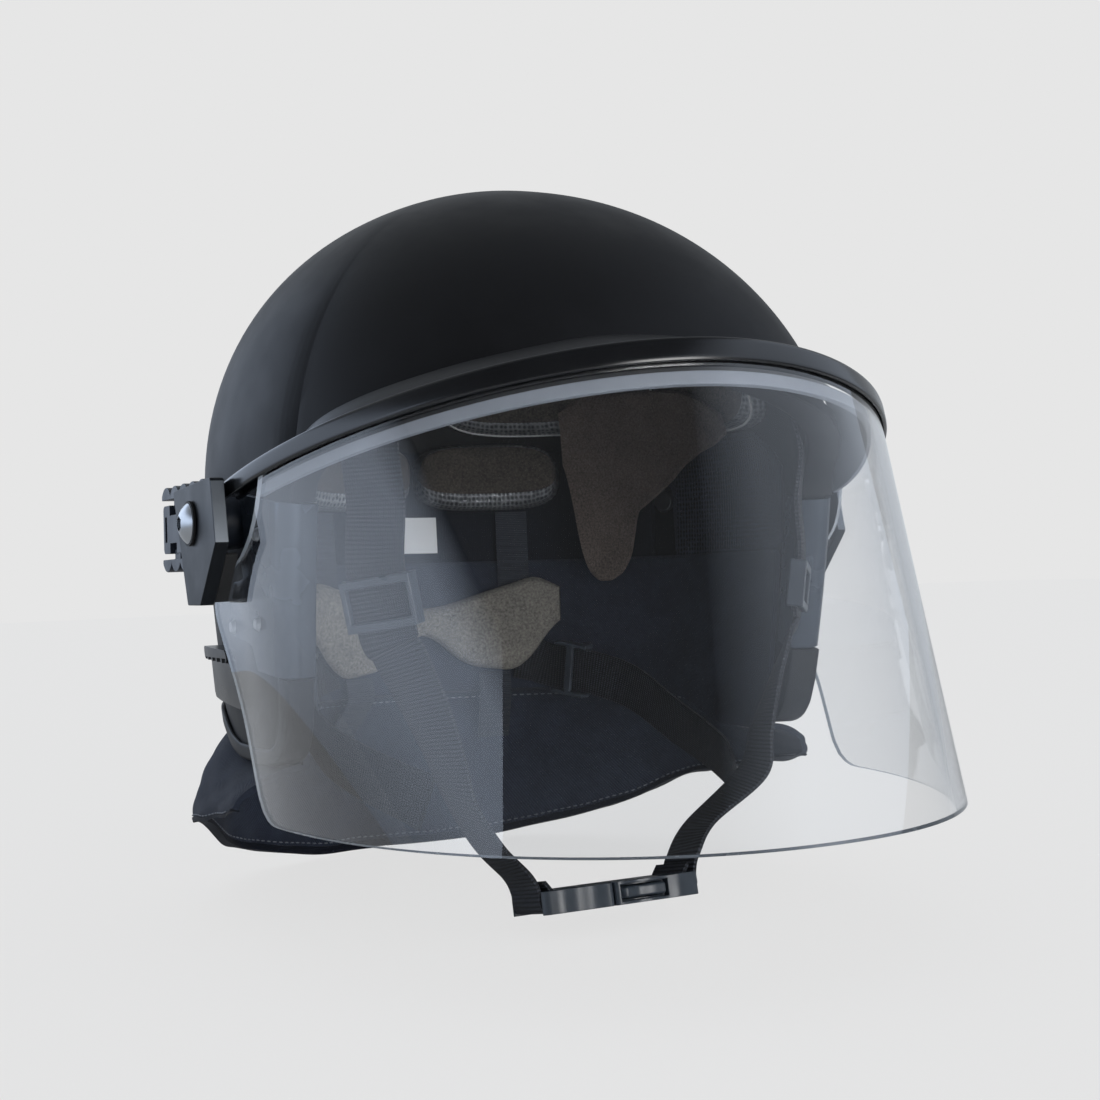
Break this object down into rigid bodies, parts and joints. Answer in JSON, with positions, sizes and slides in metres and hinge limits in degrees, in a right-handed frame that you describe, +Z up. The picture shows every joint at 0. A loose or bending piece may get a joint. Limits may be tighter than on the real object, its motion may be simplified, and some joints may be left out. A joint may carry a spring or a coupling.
{
  "type": "riot helmet",
  "caption": "Full-cut black helmet with hinged clear face shield, side latches, padded liner, chin harness with buckle, and padded neck curtain.",
  "frame": {"origin": "middle of the head space, level with the widest ring of the shell", "axes": "+X to the wearer's left, -Y straight ahead, +Z up"},
  "size_m": [0.286, 0.3336, 0.2824],
  "materials": {
    "shell_black": "matt black paint on a moulded shell",
    "edge_rubber": "satin black edging",
    "seal_rubber": "smooth grey seal",
    "clamp_grey": "satin blue-grey",
    "rivet_zinc": "dull zinc",
    "latch_blue": "dark blue-grey moulding",
    "screw_zinc": "bright zinc plate",
    "washer_black": "black fibre washer",
    "clip_black": "glossy black",
    "liner_cloth": "dark blue mesh cloth",
    "pad_suede": "brown-grey suede cloth over foam",
    "temple_leather": "brown-grey suede leather",
    "elastic_grey": "dark ribbed elastic",
    "label_white": "bare white woven label",
    "webbing_black": "black woven webbing",
    "buckle_black": "satin black moulding",
    "curtain_navy": "navy twill over padding",
    "hem_navy": "folded navy binding",
    "sheet_clear": "clear polycarbonate, polished",
    "lip_black": "glossy black moulded lip",
    "plate_black": "black anodised plate"
  },
  "bodies": {
    "helmet": {"shell": "shell_black", "rim_trim": "edge_rubber", "brow_gasket": "seal_rubber", "ear_clamp_right": "clamp_grey", "ear_clamp_left": "clamp_grey", "clamp_rivets": "rivet_zinc", "latch_block_right": "latch_blue", "latch_block_left": "latch_blue", "pivot_bush_right": "screw_zinc", "pivot_bush_left": "screw_zinc", "pivot_screw_right": "screw_zinc", "pivot_screw_left": "screw_zinc", "pivot_washers": "washer_black", "pivot_nuts": "screw_zinc", "rim_clip_right": "clip_black", "rim_clip_left": "clip_black", "liner_band": "liner_cloth", "side_linings": "liner_cloth", "crown_pad": "pad_suede", "front_pad": "pad_suede", "side_pads": "pad_suede", "upper_rear_pads": "pad_suede", "rear_pads": "pad_suede", "temple_leather_right": "temple_leather", "temple_leather_left": "temple_leather", "nape_pad": "pad_suede", "nape_elastics": "elastic_grey", "liner_label": "label_white", "shell_bolts": "rivet_zinc", "front_strap_right": "webbing_black", "front_strap_left": "webbing_black", "rear_strap_right": "webbing_black", "rear_strap_left": "webbing_black", "strap_slider_right": "buckle_black", "strap_slider_left": "buckle_black", "nape_slider_right": "buckle_black", "nape_slider_left": "buckle_black", "buckle_socket": "buckle_black", "buckle_plug": "buckle_black", "neck_curtain": "curtain_navy", "curtain_hem": "hem_navy"},
    "visor": {"visor_sheet": "sheet_clear", "visor_lip": "lip_black", "visor_bracket_right": "plate_black", "visor_bracket_left": "plate_black", "bracket_pads": "lip_black"},
    "latch_upper_right": {"latch_tab_upper_right": "latch_blue"},
    "latch_upper_left": {"latch_tab_upper_left": "latch_blue"},
    "latch_lower_right": {"latch_tab_lower_right": "latch_blue"},
    "latch_lower_left": {"latch_tab_lower_left": "latch_blue"},
    "prong_front": {"buckle_prong_front": "buckle_black"},
    "prong_rear": {"buckle_prong_rear": "buckle_black"}
  },
  "joints": [
    {"name": "visor_hinge", "type": "hinge", "parent": "helmet", "child": "visor", "pos_m": [0, -0.018, -0.0125], "axis": [-1, 0, 0], "range_deg": [0, 75]},
    {"name": "latch_press_upper_right", "type": "slide", "parent": "helmet", "child": "latch_upper_right", "axis": [0, 0, -1], "range_m": [0, 0.002], "stiffness_N_per_m": 800},
    {"name": "latch_press_upper_left", "type": "slide", "parent": "helmet", "child": "latch_upper_left", "axis": [0, 0, -1], "range_m": [0, 0.002], "stiffness_N_per_m": 800},
    {"name": "latch_press_lower_right", "type": "slide", "parent": "helmet", "child": "latch_lower_right", "axis": [0, 0, 1], "range_m": [0, 0.002], "stiffness_N_per_m": 800},
    {"name": "latch_press_lower_left", "type": "slide", "parent": "helmet", "child": "latch_lower_left", "axis": [0, 0, 1], "range_m": [0, 0.002], "stiffness_N_per_m": 800},
    {"name": "buckle_squeeze_front", "type": "hinge", "parent": "helmet", "child": "prong_front", "pos_m": [-0.014, -0.08482, -0.14909], "axis": [0, 0.1908, 0.9816], "range_deg": [0, 6], "stiffness_Nm_per_rad": 1},
    {"name": "buckle_squeeze_rear", "type": "hinge", "parent": "helmet", "child": "prong_rear", "pos_m": [-0.014, -0.06518, -0.15291], "axis": [0, -0.1908, -0.9816], "range_deg": [0, 6], "stiffness_Nm_per_rad": 1}
  ]
}
